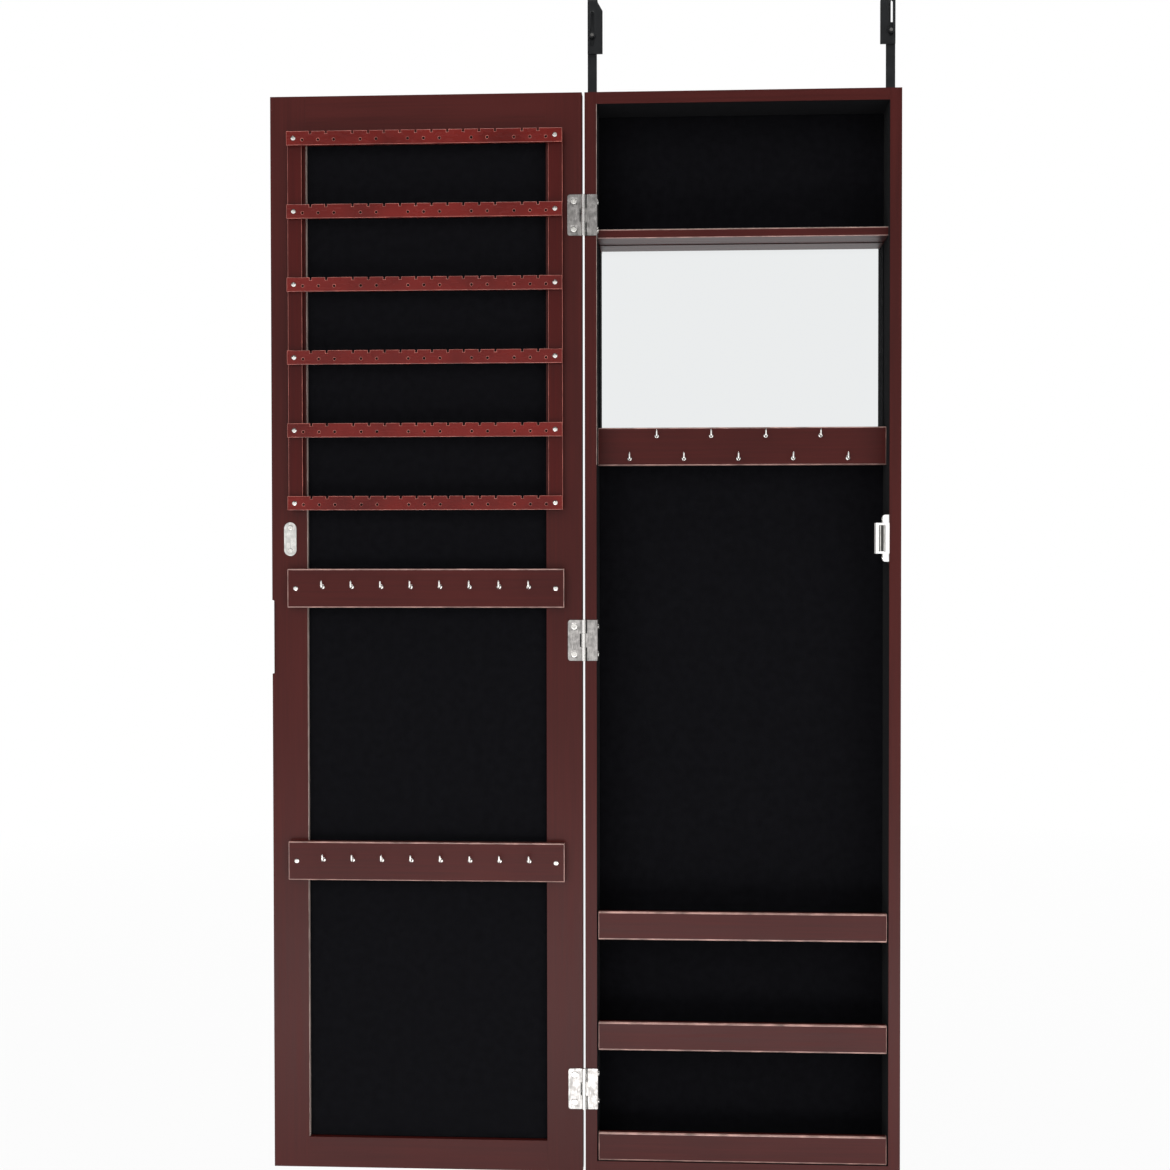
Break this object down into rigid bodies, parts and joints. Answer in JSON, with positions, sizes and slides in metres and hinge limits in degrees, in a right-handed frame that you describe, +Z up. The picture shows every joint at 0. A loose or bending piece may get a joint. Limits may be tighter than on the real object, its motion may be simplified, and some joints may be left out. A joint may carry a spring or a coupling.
{
  "type": "jewelry mirror cabinet",
  "caption": "Tall, shallow jewelry cabinet that hangs over a door, with a mirrored hinged door, an earring rack, necklace hooks, a shelf, an inner mirror and lipped trays.",
  "frame": {"origin": "centre of the back panel's rear face", "axes": "+X to the right seen from the front, +Y out of the back towards what the cabinet hangs on, +Z up"},
  "size_m": [0.703, 0.1341, 1.336],
  "materials": {
    "red_wood": "satin dark cherry stain",
    "black_felt": "short matt pile",
    "bar_lacquer": "gloss red-brown lacquer",
    "black_board": "plain dark board",
    "silvered_glass": "clear silvered",
    "nickel": "bright nickel plate",
    "hinge_steel": "satin nickel plate",
    "plate_steel": "zinc plate",
    "white_plastic": "moulded white",
    "ferrite": "plain ferrite",
    "black_steel": "black powder coat"
  },
  "bodies": {
    "cabinet": {"cabinet_back_panel": "black_board", "cabinet_bottom": "red_wood", "cabinet_hook_rail": "red_wood", "cabinet_hooks": "nickel", "cabinet_left_side": "red_wood", "cabinet_right_side": "red_wood", "cabinet_top": "red_wood", "catch_housing": "white_plastic", "catch_magnet": "ferrite", "catch_pole_plates": "plate_steel", "catch_screws": "nickel", "hanger_nuts": "black_steel", "hanger_strap_left": "black_steel", "hanger_strap_right": "black_steel", "hanger_studs": "black_steel", "hinge_leaf_cabinet_bottom": "hinge_steel", "hinge_leaf_cabinet_middle": "hinge_steel", "hinge_leaf_cabinet_top": "hinge_steel", "hinge_pins": "hinge_steel", "hinge_screws_cabinet": "nickel", "inner_mirror_backer": "black_board", "inner_mirror_glass": "silvered_glass", "main_back_lining": "black_felt", "strap_screws": "black_steel", "tray_lip_lower": "red_wood", "tray_lip_middle": "red_wood", "tray_lip_upper": "red_wood", "tray_shelf_lower": "black_felt", "tray_shelf_upper": "black_felt", "upper_back_lining": "black_felt", "upper_shelf": "red_wood"},
    "door": {"door_bottom_rail": "red_wood", "door_felt_panel": "black_felt", "door_free_stile": "red_wood", "door_hinge_stile": "red_wood", "door_hook_rail_lower": "red_wood", "door_hook_rail_upper": "red_wood", "door_hooks_lower": "nickel", "door_hooks_upper": "nickel", "door_mirror_backer": "black_board", "door_mirror_glass": "silvered_glass", "door_top_rail": "red_wood", "earring_bar_1": "bar_lacquer", "earring_bar_2": "bar_lacquer", "earring_bar_3": "bar_lacquer", "earring_bar_4": "bar_lacquer", "earring_bar_5": "bar_lacquer", "earring_bar_6": "bar_lacquer", "hinge_leaf_door_bottom": "hinge_steel", "hinge_leaf_door_middle": "hinge_steel", "hinge_leaf_door_top": "hinge_steel", "hinge_screws_door": "nickel", "hook_rail_screws": "nickel", "rack_batten_free_side": "bar_lacquer", "rack_batten_hinge_side": "bar_lacquer", "rack_screws": "nickel", "strike_plate": "plate_steel", "strike_screws": "nickel"},
    "over_door_hook_left": {"over_door_hook_left": "black_steel"},
    "over_door_hook_right": {"over_door_hook_right": "black_steel"}
  },
  "joints": [
    {"name": "door_hinge", "type": "hinge", "parent": "cabinet", "child": "door", "pos_m": [-0.1765, -0.0715, 0], "axis": [0, 0, 1], "range_deg": [0, 180]},
    {"name": "left_hook_slide", "type": "slide", "parent": "cabinet", "child": "over_door_hook_left", "axis": [0, 0, 1], "range_m": [-0.026, 0.01]},
    {"name": "right_hook_slide", "type": "slide", "parent": "cabinet", "child": "over_door_hook_right", "axis": [0, 0, 1], "range_m": [-0.032, 0.004]}
  ]
}
